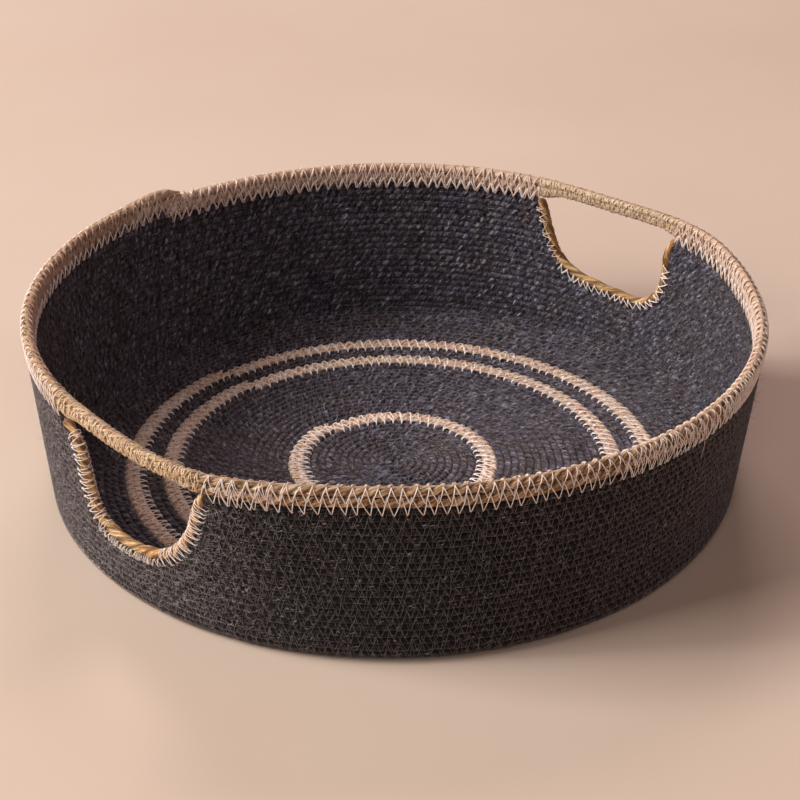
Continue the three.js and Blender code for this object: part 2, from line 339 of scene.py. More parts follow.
def in_opening(points, outward):
    """Which points lie over one of the two openings, grown by a distance."""
    x, y, up = (points[..., i] - AXIS[i] for i in range(3))
    over = np.zeros(x.shape, bool)
    for side, opening in ((1, RIGHT_OPENING), (-1, LEFT_OPENING)):
        line = opening_line(opening, outward, OUTLINE_STEP)
        top = [[line[i, 0], OPENING_TOP] for i in (0, -1)]
        outline = np.concatenate([top[:1], line, top[1:]])
        inside = np.zeros(x.shape, bool)
        for (a0, z0), (a1, z1) in zip(outline, np.roll(outline, -1, 0)):
            if z0 != z1:
                crosses = (z0 > up) != (z1 > up)
                inside ^= crosses & (side * y < a0 + (up - z0) * (a1 - a0) / (z1 - z0))
        over |= inside & (side * x > RIM_RADIUS / 2)
    return over


def srgb(code):
    """A hex colour as linear values."""
    parts = [int(code[i : i + 2], 16) / 255 for i in (1, 3, 5)]
    return [c / 12.92 if c <= 0.04045 else ((c + 0.055) / 1.055) ** 2.4 for c in parts] + [1]


def add(tree, kind, inputs=None, stops=(), **settings):
    """Adds a node with its settings, its inputs as values or links, and its colour stops."""
    node = tree.nodes.new(kind)
    for name, value in settings.items():
        setattr(node, name, value)
    for name, value in (inputs or {}).items():
        if isinstance(value, bpy.types.NodeSocket):
            tree.links.new(value, node.inputs[name])
        else:
            node.inputs[name].default_value = value
    for i, (position, code) in enumerate(stops):
        elements = node.color_ramp.elements
        element = elements[i] if i < 2 else elements.new(position)
        element.position, element.color = position, srgb(code)
    return node


def new_material(name, rough, sheen, specular=0.5):
    """A material with its Principled shader."""
    material = bpy.data.materials.new(name)
    material.use_nodes = True
    shader = material.node_tree.nodes["Principled BSDF"]
    shader.inputs["Roughness"].default_value = rough
    shader.inputs["Sheen Weight"].default_value = sheen
    shader.inputs["Sheen Roughness"].default_value = 0.35
    shader.inputs["Sheen Tint"].default_value = srgb("#ffdad2")
    shader.inputs["Specular IOR Level"].default_value = specular
    return material, material.node_tree, shader


# Patterns by real size: to the millimetre along the cord's own map, and to the metre elsewhere
FIBRES_TO_MM = 1.7  # a fibre is about 0.6 mm wide here, coarser than the real one, so that it shows
LEAVES_TO_MM = 0.5  # a folded leaf is about 2 mm wide
FLECKS_TO_MM = 1.1
HANKS_TO_M = 45  # the dye or drying changes about every 22 mm
SHADES_TO_M = 300  # a thread changes about every 3 mm
CLOUDS_TO_M = 3
FIBRE_RELIEF = 0.0007  # metres


def seagrass(name, strands, tints, fleck, flecked, crease_shade_colour, rough, sheen, specular=0.3, slant=0.65,
             stretch=9, painted_light="#d9b89e", blend="MIX"):
    """Twisted seagrass: flat dried leaves whose edges and fibres run along each strand. Their
    colours differ from leaf to leaf and from one hank to the next, the creases between the strands
    get painted shade in a dark colour of their own, and where a fibre has lifted it shows as a
    light fleck. One face of the layer gets painted light or shade in a colour of its own, blended
    in as its map says: painted shade on the dyed wall's outer face, painted light on the rim's
    inner face."""
    material, tree, shader = new_material(name, rough, sheen, specular)
    lay = add(tree, "ShaderNodeUVMap", uv_map="Lay")  # millimetres along and round the cord
    along = {"Vector": lay.outputs["UV"], "Rotation": (0, 0, slant), "Scale": (stretch, 1, 1)}
    turned = add(tree, "ShaderNodeMapping", along, vector_type="TEXTURE").outputs["Vector"]
    fibres = {"Vector": turned, "Scale": FIBRES_TO_MM, "Detail": 3, "Roughness": 0.65}
    fibre = add(tree, "ShaderNodeTexNoise", fibres)
    leaves = {"Vector": turned, "Scale": LEAVES_TO_MM, "Detail": 1, "Distortion": 0.4}
    leaf = add(tree, "ShaderNodeTexNoise", leaves)
    half_leaf = add(tree, "ShaderNodeMath", {0: leaf.outputs["Fac"], 1: 0.5}, operation="MULTIPLY")
    mean = {0: fibre.outputs["Fac"], 1: 0.5, 2: half_leaf.outputs["Value"]}
    grain = add(tree, "ShaderNodeMath", mean, operation="MULTIPLY_ADD").outputs["Value"]
    strand = add(tree, "ShaderNodeValToRGB", {"Fac": grain}, stops=strands)
    spot = add(tree, "ShaderNodeTexCoord").outputs["Object"]
    hanks = {"Vector": spot, "Scale": HANKS_TO_M, "Detail": 4, "Roughness": 0.6}
    hank = add(tree, "ShaderNodeTexNoise", hanks)
    tint_stops = [(0.32, tints[0]), (0.68, tints[1]), (0.5, "#ffffff")]
    tint = add(tree, "ShaderNodeValToRGB", {"Fac": hank.outputs["Fac"]}, stops=tint_stops)
    both = {"Factor": 0.75, 6: strand.outputs["Color"], 7: tint.outputs["Color"]}
    tinted = add(tree, "ShaderNodeMix", both, data_type="RGBA", blend_type="MULTIPLY")
    crease = add(tree, "ShaderNodeUVMap", uv_map="Crease")  # X how much painted shade in a crease, Y how much painted light or shade on a face
    shading_map = add(tree, "ShaderNodeSeparateXYZ", {"Vector": crease.outputs["UV"]})
    # a face's painted light: shade multiplied into the dyed wall's outer face, a paler colour mixed
    # into the rim's inner face
    painted_light_mix = {"Factor": shading_map.outputs["Y"], 6: tinted.outputs[2], 7: srgb(painted_light)}
    with_painted_light = add(tree, "ShaderNodeMix", painted_light_mix, data_type="RGBA", blend_type=blend)
    # painted shade in the creases between strands and the grooves between rounds
    shading = {"Factor": shading_map.outputs["X"], 6: with_painted_light.outputs[2], 7: srgb(crease_shade_colour)}
    shaded = add(tree, "ShaderNodeMix", shading, data_type="RGBA")
    askew = {"Vector": lay.outputs["UV"], "Rotation": (0, 0, 0.3), "Scale": (3.5, 1, 1)}
    onward = add(tree, "ShaderNodeMapping", askew, vector_type="TEXTURE").outputs["Vector"]
    specks = {"Vector": onward, "Scale": FLECKS_TO_MM, "Detail": 2, "W": 3.0}
    speck = add(tree, "ShaderNodeTexNoise", specks, noise_dimensions="4D").outputs["Fac"]
    lift = {"Value": speck, "From Min": flecked, "From Max": flecked + 0.07, "To Max": 0.85}
    lifted = add(tree, "ShaderNodeMapRange", lift)
    flecks = {"Factor": lifted.outputs["Result"], 6: shaded.outputs[2], 7: srgb(fleck)}
    colour = add(tree, "ShaderNodeMix", flecks, data_type="RGBA")
    relief = {"Height": grain, "Strength": 1.0, "Distance": FIBRE_RELIEF}
    bump = add(tree, "ShaderNodeBump", relief)
    gloss = add(tree, "ShaderNodeMapRange", {"Value": grain, "From Min": 0.3, "From Max": 0.7})
    gloss.inputs["To Min"].default_value = rough + 0.12
    gloss.inputs["To Max"].default_value = rough - 0.1
    tree.links.new(colour.outputs[2], shader.inputs["Base Color"])
    tree.links.new(gloss.outputs["Result"], shader.inputs["Roughness"])
    tree.links.new(bump.outputs["Normal"], shader.inputs["Normal"])
    return material


def fine_strand(name, dark, light, rough):
    """Spun thread or a single fibre: fine and matt, with small changes of shade where its twist
    turns and dust has caught."""
    material, tree, shader = new_material(name, rough, 0.2)
    spot = add(tree, "ShaderNodeTexCoord").outputs["Object"]
    change = add(tree, "ShaderNodeTexNoise", {"Vector": spot, "Scale": SHADES_TO_M, "Detail": 3})
    stops = [(0.35, dark), (0.65, light)]
    shade = add(tree, "ShaderNodeValToRGB", {"Fac": change.outputs["Fac"]}, stops=stops)
    tree.links.new(shade.outputs["Color"], shader.inputs["Base Color"])
    return material


# In each cord below, the crease colour is painted shade for its creases and grooves
# Dyed unevenly: blue-black with grey leaves, dry and slightly furry, and painted browner and darker
# on the outer face of the wall, as painted shade
dyed_cord = seagrass(
    "dyed seagrass cord",
    strands=[(0.4, "#131217"), (0.64, "#a7a4b4"), (0.48, "#2d2b34"), (0.56, "#605c6b")],
    tints=("#ccc6dd", "#d6baa2"),
    fleck="#a89c9c", flecked=0.63, crease_shade_colour="#060506", rough=0.6, sheen=0.5,
    # its outer-face colour is painted shade, multiplied in
    specular=0.2, slant=1.15, stretch=5, painted_light="#554741", blend="MULTIPLY",
)
# Undyed: straw to brown, with a leaf's slight shine, and painted paler inside the rim as painted
# light
natural_cord = seagrass(
    "natural seagrass cord",
    strands=[(0.4, "#573819"), (0.64, "#f8e4ca"), (0.48, "#a87f58"), (0.56, "#dab792")],
    tints=("#eccdb4", "#d4cb9a"),
    fleck="#f6e4c8", flecked=0.62, crease_shade_colour="#2c180a", rough=0.55, sheen=0.1,
)
# The rings of the base: the palest cord, with only light painted shade in its creases
ring_cord = seagrass(
    "pale seagrass cord",
    strands=[(0.38, "#a87a5c"), (0.64, "#fff3e4"), (0.47, "#e8bf9e"), (0.55, "#fadfc6")],
    tints=("#fbe6da", "#f6ecd6"),
    fleck="#fbeee2", flecked=0.62, crease_shade_colour="#9a7458", rough=0.55, sheen=0.2,
)
# The bindings: golden, a little glossier, and with no painted light or shade on their faces
golden_cord = seagrass(
    "golden seagrass cord",
    strands=[(0.39, "#65431f"), (0.64, "#f4dfb8"), (0.48, "#b1844f"), (0.56, "#d9b07c")],
    tints=("#f0cda6", "#e2dca6"),
    fleck="#f6e4b8", flecked=0.64, crease_shade_colour="#4c2c10", rough=0.5, sheen=0.1,
)
# Single fibres, dry and light against the cord they stand off; the palest dyed ones are painted
# light, where the light grazes the wall
dyed_fibre = fine_strand("dyed seagrass fibre", "#3d3739", "#8a807d", 0.6)
lit_dyed_fibre = fine_strand("dyed seagrass fibre painted lit", "#857a7c", "#dcd2ce", 0.6)
natural_fibre = fine_strand("natural seagrass fibre", "#c9a274", "#f0dab4", 0.6)
# Spun sewing thread: dark, with a greyer copy painted lit for the outer face, and pale, with a
# dimmer copy painted shaded for the rim's inner face and a browner one for the stretch of that face
# in deeper painted shade
lit_dark_thread = fine_strand("dark sewing thread painted lit", "#535153", "#8f8b8e", 0.7)
dark_thread = fine_strand("dark sewing thread", "#3b3739", "#6f696b", 0.7)
dimmed_pale_thread = fine_strand("dimmed pale sewing thread", "#d6b59f", "#f2d9c8", 0.65)
rim_shade_thread = fine_strand("pale sewing thread in painted shade", "#ba957f", "#e0bca8", 0.7)
natural_thread = fine_strand("natural sewing thread", "#e4c8a2", "#fbe8ca", 0.65)
pale_thread = fine_strand("pale sewing thread", "#f6e0d2", "#fff7f0", 0.65)

dyed = dict(
    material=dyed_cord, slot="dyed_seagrass_cord", columns=11, lay=DARK_LAY, crease=0.34,
    outer_crease=0.22,
)
ring_natural = dict(
    material=ring_cord, slot="natural_seagrass_cord", columns=14, lay=PALE_LAY, crease=0.34
)
thick_natural = dict(ring_natural, material=natural_cord, columns=18, crease=0.26)
dark_sewing = dict(material=dark_thread, slot="dark_sewing_thread", radius=DARK_THREAD, sides=3)
# dark thread painted lit, for the outer face
lit_dark_sewing = dict(dark_sewing, material=lit_dark_thread)
pale_sewing = dict(material=pale_thread, slot="pale_sewing_thread", radius=PALE_THREAD, sides=4)
ring_sewing = dict(pale_sewing, radius=0.34)
# pale thread painted dimmer: painted shade on the rim's inner face
dimmed_pale_sewing = dict(pale_sewing, material=dimmed_pale_thread, radius=0.42)
# pale thread in deeper painted shade
rim_shade_sewing = dict(pale_sewing, material=rim_shade_thread, radius=0.3)
foot_sewing = dict(pale_sewing, radius=0.38)
close_sewing = dict(pale_sewing, radius=0.2)
handle_sewing = dict(pale_sewing, material=natural_thread, radius=0.23)


def new_piece(name, points, faces, material, slot, bake, lay=None, crease=None):
    """A mesh piece from points in millimetres and faces, with its maps: one to bake into, and for
    cord the lay of its fibres, and how much painted shade it has in a crease and how much painted
    light or shade on its face."""
    points = np.maximum(points, [-np.inf, -np.inf, 0])  # nothing sinks into what the bowl stands on
    mesh = bpy.data.meshes.new(name)
    corners = faces.shape[1]
    mesh.vertices.add(len(points))
    mesh.vertices.foreach_set("co", (points / 1000).astype(np.float32).ravel())
    mesh.loops.add(faces.size)
    mesh.loops.foreach_set("vertex_index", faces.astype(np.int32).ravel())
    mesh.polygons.add(len(faces))
    mesh.polygons.foreach_set("loop_start", np.arange(0, faces.size, corners, dtype=np.int32))
    mesh.update(calc_edges=True)
    mesh.polygons.foreach_set("use_smooth", np.ones(len(faces), bool))
    for map_name, uv in (("OFBake", bake), ("Lay", lay), ("Crease", crease)):
        if uv is not None:
            made = mesh.uv_layers.new(name=map_name)
            made.uv.foreach_set("vector", uv.astype(np.float32).ravel())
    mesh.materials.append(material)
    piece = bpy.data.objects.new(name, mesh)
    bpy.context.scene.collection.objects.link(piece)
    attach(piece, "root")
    return piece


def wander(length, every, spread):
    """A smooth chance value along a length, for what handwork leaves uneven."""
    knots = np.arange(length.min() - every, length.max() + 2 * every, every)
    values = rng.normal(0, spread, len(knots))
    at = (length - knots[0]) / every
    low = np.floor(at).astype(int)
    part = smooth(at - low)
    return values[low] * (1 - part) + values[low + 1] * part


def twisted(length, columns, lay, crease, closed=1.0, way=1, outer_crease=None):
    """A cord of two strands in rings along its length: the angle of each column, the reach of each
    point as a share of the cord's size, and the painted shade it gets in the crease between the
    strands. Leaves run along the strands as ridges. Where rounds press on each other the crease
    closes."""
    around = way * 2 * math.pi * np.arange(columns) / columns
    phase = way * 2 * math.pi * length / lay + wander(length, every=60, spread=0.5)
    between = np.abs(np.sin(around[None, :] - phase[:, None])) ** 3
    open_side = 1 - closed * np.cos(around) ** 2
    if outer_crease is not None:
        crease = crease + (outer_crease - crease) * smooth(0.5 + np.sin(around))[None, :]
    ridges = np.stack([wander(length, every=16, spread=0.06) for _ in range(columns)], 1)
    band = (np.arange(columns)[None, :] - np.arange(len(length))[:, None]) % columns
    ridges = np.take_along_axis(ridges, band, 1) * open_side[None, :]
    reach = (1 - crease * between * open_side[None, :]) * (1 + ridges)
    # the last value is painted shade in the crease between the strands
    return around, reach, STRAND_SHADE * between**2


def cord_piece(name, points, crease_shade, painted_light, length, turn, keep, material, slot):
    """A cord's mesh from rings of points, with the faces between two rings split along the twist.
    Its map for baking has a row for each round."""
    columns = crease_shade.shape[1]
    ring, column = np.flatnonzero(keep)[:, None], np.arange(columns)[None, :]
    start = math.floor(turn[0] + JOIN_TURNS)
    rows = max(1, round(turn[-1]) - start)
    row = np.clip(np.floor(turn[ring]) - start, 0, rows - 1)
    faces, bake, lay, shading_map = [], [], [], []
    for step, side in ((0, 0), (1, 1), (0, 1), (0, 0), (1, 0), (1, 1)):
        at, beside = ring + step, column + side
        share = ROW_START + ROW_LENGTH * (turn[at] - start - row)
        across = (row + ROW_FOOT + ROW_HEIGHT * beside / columns) / rows
        faces.append(at * columns + beside % columns)
        bake.append(np.stack(np.broadcast_arrays(share, across), -1))
        from_start = length[at] - length[0]
        lay.append(np.stack(np.broadcast_arrays(from_start, beside * COLUMN_WIDTH), -1))
        shading_map.append(np.stack([field[at, beside % columns] for field in (crease_shade, painted_light)], -1))
    maps = [np.stack(corners, 2).reshape(-1, 2) for corners in (bake, lay, shading_map)]
    faces = np.stack(faces, 2).reshape(-1, 3)
    return new_piece(name, points.reshape(-1, 3), faces, material, slot, *maps)


def painted_face_light(turn, facing):
    """How much painted light or shade the cord gets: painted shade on the wall's outer face, and
    painted light on the rim's inner one, with less of it on the stretch in painted shade.
    """
    on_wall = ((turn > BASE_ROUNDS) & (turn < WALL_ROUNDS))[:, None]
    on_rim = (turn > WALL_ROUNDS)[:, None]
    pale = RIM_PAINTED_LIGHT * (1 - RIM_SHADE_SHARE * rim_shade_stretch(degrees_at(turn)))[:, None]
    return facing * on_wall + pale * (1 - facing) * on_rim


def painted_crease_shade(turn, around, facing, crease_shade):
    """The painted shade at each point: in a crease between strands or in the groove between two
    rounds, lighter on the inner face and on the handles. The handles and the top of the rim have no
    round beside them, and so no painted groove shade."""
    on_wall = ((turn > BASE_ROUNDS) & (turn < WALL_ROUNDS))[:, None]
    groove_from = GROOVE_FROM - GROOVE_GAPE * facing * on_wall
    groove = smooth((np.abs(np.cos(around)) - groove_from) / GROOVE_BLEND)
    on_handle = handle_share(turn) < 1
    bare_top = (turn > WALL_ROUNDS + 1)[:, None] & (np.cos(around) > 0)
    bare_under = ((turn > WALL_ROUNDS) & on_handle)[:, None] & (np.cos(around) < 0)
    crease_shade = np.maximum(crease_shade, groove * ~(bare_top | bare_under))
    inside = CREASE_INSIDE if turn[0] < WALL_ROUNDS - 1 else RIM_CREASE_INSIDE
    crease_shade = crease_shade * (inside + (1 - inside) * facing)
    return crease_shade * (1 - HANDLE_SHADE_CUT * on_handle)[:, None]


def kept_rings(turn, half):
    """Which rings of a cord the openings leave, in one half of the bowl or in both."""
    centre = core_at(turn)
    kept = ~(in_opening(centre, TRIM_CORD / 2 - CUT_MARGIN) & (turn < WALL_ROUNDS))
    if half:
        kept &= half * (centre[:, 1] - AXIS[1]) > 0
    return kept


def cord_rounds(name, first, last, material, slot, columns, lay, crease, outer_crease=None, half=0):
    """One length of cord in its rounds, from one turn to another, cut where an opening is. Half of
    the rounds is kept where a wall is two panels: 1 for the rear one, -1 for the front one."""
    begin, end = length_at(first) - JOIN, length_at(last) + JOIN * (last < RIM_ROUNDS)
    length = np.linspace(begin, end, int((end - begin) * columns / lay))
    turn = turn_at(length)
    around, reach, crease_shade = twisted(length, columns, lay, crease, CLOSED, 1, outer_crease)
    sewn_in = PULLED_IN * (turn > WALL_ROUNDS) * (turn < WALL_ROUNDS + 1)
    reach = reach * (1 - sewn_in[:, None] * np.sin(around) ** PULL_SHARPNESS)
    facing = smooth(0.5 + 2 * np.sin(around))[None, :]  # from 0 on the inner face to 1 on the outer
    # painted shade in the creases and grooves
    crease_shade = painted_crease_shade(turn, around, facing, crease_shade)
    kept = kept_rings(turn, half)
    end_ring = kept & (~np.roll(kept, 1) | ~np.roll(kept, -1))
    end_ring[[0, -1]] = True
    size = np.where(end_ring, END_SIZE, 1)[:, None] * reach
    pressing = PRESSING - RIM_EASE * (turn > WALL_ROUNDS)
    wide = pressing * half_width(turn) * (1 + wander(length, every=9, spread=0.025))
    thick = half_thick(turn) * (1 + wander(length, every=4, spread=0.06))
    aside = wander(length, every=14, spread=0.1)
    along = middle(turn)[:, None] + wide[:, None] * size * np.cos(around)
    offset = thick[:, None] * size * np.sin(around) + aside[:, None]
    from_heap = (turn - RIM_ROUNDS + HEAP_BACK) / HEAP_SPREAD
    heap = np.exp(-(from_heap**2))[:, None]  # the cord's end lies on its own start
    along = along + heap * (HEAP_RISE + HEAP_WIDER * wide[:, None] * size * np.cos(around))
    points = place(along, degrees_at(turn)[:, None], offset * (1 + HEAP_THICKER * heap))
    keep = kept[:-1] & kept[1:]
    # painted shade on the wall's outer face, painted light on the rim's inner face
    painted_light = painted_face_light(turn, facing)
    return cord_piece(name, points, crease_shade, painted_light, length, turn, keep, material, slot)


def taut_path(crowns, low, high, samples):
    """Where a thread lies when it is pulled over crowns of cord, each with its middle, half width
    and half thickness: along and offset, from a low hole to a high one."""
    along = np.linspace(low, high, 121)
    over = [
        thick * np.sqrt(np.clip(1 - ((along - at) / wide) ** 2, 0, 1)) for at, wide, thick in crowns
    ]
    hull = []
    for x, y in zip(along, np.max(over, axis=0)):
        while len(hull) > 1:
            (x0, y0), (x1, y1) = hull[-2:]
            if (x1 - x0) * (y - y0) < (y1 - y0) * (x - x0):
                break
            hull.pop()
        hull.append((x, y))
    hull = np.array(hull)
    run = np.concatenate([[0], np.cumsum(np.hypot(*np.diff(hull, axis=0).T))])
    inner_points = np.linspace(HOLE_SHARE, 1 - HOLE_SHARE, samples - 2)
    share = np.concatenate([[0], inner_points, [1]]) * run[-1]
    return np.stack([np.interp(share, run, hull[:, i]) for i in (0, 1)], -1)


def tubes(name, lines, radius, sides, material, slot, taper=1.0):
    """Fine tubes along lines of points in millimetres, each bent in one plane, as one piece."""
    count, samples = lines.shape[:2]
    ahead = unit(np.gradient(lines, axis=1))
    bow = lines[:, samples // 2] - (lines[:, 0] + lines[:, -1]) / 2 + NUDGE
    across = unit(np.cross(lines[:, -1] - lines[:, 0], bow))[:, None]
    away = unit(np.cross(ahead, across))
    angle = 2 * math.pi * np.arange(sides)[:, None] / sides
    width = radius * np.linspace(1, taper, samples)[None, :, None, None]
    round_it = np.cos(angle) * across[:, :, None] + np.sin(angle) * away[:, :, None]
    points = lines[:, :, None] + width * round_it
    which = np.arange(count)[:, None, None]
    step, side = np.arange(samples - 1)[None, :, None], np.arange(sides)[None, None, :]
    grid = math.ceil(math.sqrt(count))
    faces, bake = [], []
    for onward, beside in ((0, 0), (0, 1), (1, 1), (1, 0)):
        faces.append((which * samples + step + onward) * sides + (side + beside) % sides)
        u = (which % grid + CELL_START + CELL_SIZE * (step + onward) / (samples - 1)) / grid
        v = (which // grid + CELL_START + CELL_SIZE * (side + beside) / sides) / grid
        bake.append(np.stack(np.broadcast_arrays(u, v), -1))
    faces, bake = np.stack(faces, -1).reshape(-1, 4), np.stack(bake, -2).reshape(-1, 2)
    return new_piece(name, points.reshape(-1, 3), faces, material, slot, bake)


def sew(name, put, low, high, path, sinks, radius, sides, material, slot):
    """Thread between holes: a fine tube for each pass of the needle. low and high are the lengths
    along the seam of each pass's two ends, path its rise and offset, put the place of points."""
    rise, offset = path[:, 0], path[:, 1].copy()
    face = np.sign(offset.sum())
    offset += face * (THREAD_STANDS[0] * radius + THREAD_STANDS[1])
    offset[[0, -1]] -= face * np.array(sinks)
    run = np.concatenate([[0], np.cumsum(np.hypot(*np.diff(path, axis=0).T))])
    part = run / run[-1]
    length = low[:, None] + (high - low)[:, None] * part
    shift = rng.normal(0, HOLE_SPREAD, (len(low), 2))
    along = rise + shift[:, :1] * (1 - part) + shift[:, 1:] * part
    lines = put(along, np.broadcast_to(offset, along.shape), length)
    return tubes(name, lines, radius, sides, material, slot)


def on_layer(along, offset, length):
    """Places seam points by their distance from the edge between two rounds."""
    turn = turn_at(length)
    return place(lower_edge(turn) + along * handle_share(turn), degrees_at(turn), offset)


def zigzag(begin, end, pitch, lean, uneven):
    """Low and high ends of the passes of a zigzag, by length along the seam."""
    count = int((end - begin) / pitch)
    high = begin + pitch * (np.arange(count) + rng.normal(0, uneven, count))
    low = begin + pitch * (np.arange(count) + lean + rng.normal(0, uneven, count))
    return np.concatenate([low, low[:-1]]), np.concatenate([high, high[1:]])


def seam(name, first, last, path, thread, clear, pitch=DARK_STITCH, lean=0.38, uneven=0.1,
         over=False, bare=None, sinks=(1, 1), faces=(1, -1)):
    """A zigzag seam on both faces of the layer, where the wall is clear of the openings or, over
    them, on the handles alone. A bare stretch of the outer face, in degrees, has no stitches. Dark
    thread on the outer face is a lighter copy, painted light, and pale thread on the inner face is
    a dimmer copy, painted shade, browner where that face is in deeper painted shade."""
    low, high = zigzag(length_at(first), length_at(last), pitch, lean, uneven)
    foot, head = (on_layer(path[i, 0] + 0 * at, 0 * at, at) for i, at in ((0, low), (-1, high)))
    keep = in_opening(foot, clear)
    if not over:
        keep = ~(keep | in_opening(head, clear))
    degrees = degrees_at(turn_at(low)) % 360
    for side in faces:
        face, sewn, spun = ("outer" if side > 0 else "inner"), keep, thread
        on_face = path * [1, side]
        if bare and side > 0:
            sewn = keep & ~((degrees > bare[0]) & (degrees < bare[1]))
        # the outer face's dark thread is painted lit
        if thread is dark_sewing and side > 0:
            spun = lit_dark_sewing
        # the inner face's pale thread is painted dimmer, as painted shade, and browner where that
        # face is in deeper painted shade
        if thread is pale_sewing and side < 0:
            rim_shade = keep & (rim_shade_stretch(degrees) > 0.5)
            rim_shade_name = f"{name}_{face}_dull"
            sew(rim_shade_name, on_layer, low[rim_shade], high[rim_shade], on_face, sinks, **rim_shade_sewing)
            sewn, spun = keep & ~rim_shade, dimmed_pale_sewing
        sew(f"{name}_{face}", on_layer, low[sewn], high[sewn], on_face, sinks, **spun)


def lay_cord():
    """The spiral of cord from the middle of the base to the top of the rim."""
    lengths = [
        ("base_center_coil", CORD_START, INNER_RING[0], dyed),
        ("base_inner_ring", *INNER_RING, ring_natural),
        ("base_middle_coil", INNER_RING[1], SECOND_RING[0], dyed),
        ("base_second_ring", *SECOND_RING, ring_natural),
        ("base_gap_coil", SECOND_RING[1], OUTER_RING[0], dyed),
        ("base_outer_ring", *OUTER_RING, ring_natural),
        ("base_outer_coil", OUTER_RING[1], BASE_ROUNDS, dyed),
        ("wall_foot_coil", BASE_ROUNDS, FOOT_END, dyed),
        ("wall_lower_coil", FOOT_END, PANEL_START, dyed),
        ("wall_front_coil", PANEL_START, WALL_ROUNDS, dict(dyed, half=-1)),
        ("wall_rear_coil", PANEL_START, WALL_ROUNDS, dict(dyed, half=1)),
        ("rim_cord", WALL_ROUNDS, RIM_ROUNDS + LAPPED_END, thick_natural),
    ]
    for node, first, last, kind in lengths:
        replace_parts(cord_rounds(f"{node}_rounds", first, last, **kind), node)


def sew_rounds():
    """The seams that join each round to the one before it, dark or pale as the outer round is."""
    crowns = [(BASE_PITCH * (i + 0.5), BASE_PITCH / 2, LAYER / 2) for i in (-2, -1, 0, 1)]
    path = taut_path(crowns, *DARK_HOLES, 7)
    clear = TRIM_CORD / 2 + CLEAR_OF_TRIM
    for first, last in DARK_SEAMS:
        seam(f"dark_seam_{first}_to_{last}", first, last, path, dark_sewing, clear)
    for first, last in (INNER_RING, SECOND_RING, OUTER_RING):
        seam(f"pale_seam_{first}_to_{last}", first, last, path, ring_sewing, clear)


def wrap(name, first, last, path, pitch, thread):
    """Passes of thread over the top of the handles, from one face to the other."""
    low, high = zigzag(length_at(first), length_at(last), pitch, lean=0.5, uneven=0.3)
    keep = in_opening(on_layer(0 * low, 0 * low, low), 0)
    low, high = low[keep], high[keep]
    part = np.linspace(0, 1, len(path))
    path = path + unit(path - path.mean(0)) * THREAD_STANDS[0] * thread["radius"]
    length = low[:, None] + (high - low)[:, None] * part
    along, offset = (np.broadcast_to(path[:, i], length.shape) for i in (0, 1))
    tubes(name, on_layer(along, offset, length), **thread)


def rim_crowns(low_turn):
    """Crowns of the two rim rounds and the last dark ones, along from the lower edge of the round
    that starts at a turn."""
    half = RIM_THICK / 2
    dark = [(WALL_PITCH * (i + 0.5), WALL_PITCH / 2, LAYER / 2) for i in (-2, -1)]
    rim = [(LOWER_RIM / 2, LOWER_RIM / 2, half), (LOWER_RIM + UPPER_RIM / 2, UPPER_RIM / 2, half)]
    start = LOWER_RIM if low_turn > WALL_ROUNDS else 0
    return [(at - start, wide, thick) for at, wide, thick in dark + rim]


def sew_rim():
    """Two pale seams: one from the dark wall over the lower round, and one from the middle of the
    lower round over the top edge. The inner face has three more, and two stretches of the front
    have more stitches. On the handles they lie closer and wrap the free cord."""
    lower = taut_path(rim_crowns(WALL_ROUNDS), -3.4, LOWER_RIM + 0.3, 6)
    upper = taut_path(rim_crowns(RIM_ROUNDS), -LOWER_RIM * 0.45, UPPER_RIM * 0.99, 8)
    between = taut_path(rim_crowns(WALL_ROUNDS), 0.4, LOWER_RIM + 1.5, 5)
    foot = taut_path(rim_crowns(WALL_ROUNDS), -2.5, LOWER_RIM * 0.6, 6)
    under = taut_path(rim_crowns(WALL_ROUNDS)[2:], 0.06, LOWER_RIM + 0.3, 6)
    bend = np.radians(np.linspace(200, -20, 8))
    across = UPPER_RIM / 2 + UPPER_RIM / 2 * np.sin(bend)
    over = np.stack([across, RIM_THICK / 2 * np.cos(bend)], -1)

    lower_round = (WALL_ROUNDS, WALL_ROUNDS + 1)
    upper_round = (WALL_ROUNDS + 1, RIM_ROUNDS)
    past_round = WALL_ROUNDS + 1.02  # a seam's end passes its start
    wall = dict(pitch=RIM_STITCH, clear=0, thread=pale_sewing)
    inner = dict(wall, faces=(-1,))
    seam("rim_seam_lower", *lower_round, lower, **wall)
    seam("rim_seam_upper", *upper_round, upper, sinks=(1, 0.2), **wall)
    seam("rim_seam_between", WALL_ROUNDS - 0.002, past_round, between, **inner)
    seam("rim_seam_top", *upper_round, upper, **inner)

    beside_handle, front_right = (0.664, 0.696), (0.36, 0.53)  # shares of a round from the lap
    for name, start, path in (("lower", WALL_ROUNDS, lower), ("upper", WALL_ROUNDS + 1, upper)):
        beside = [start + share for share in beside_handle]
        right = [start + share for share in front_right]
        seam(f"rim_seam_beside_{name}", *beside, path, close_sewing, 0)
        seam(f"rim_seam_right_{name}", *right, path, close_sewing, 0, faces=(1,))

    handle = dict(wall, pitch=HANDLE_STITCH, thread=handle_sewing, lean=0.5, uneven=0.2, over=True)
    rubbed_bare = (163, 172)  # degrees
    seam("handle_seam_lower", *lower_round, under, sinks=(0.2, 1), **handle)
    seam("handle_seam_upper", *upper_round, upper, sinks=(1, 0.2), bare=rubbed_bare, **handle)
    wrap("handle_wraps", *upper_round, over, WRAP_STITCH, handle_sewing)
    on_foot = dict(inner, thread=foot_sewing)
    seam("rim_seam_foot", WALL_ROUNDS - 0.0006, past_round, foot, **on_foot)


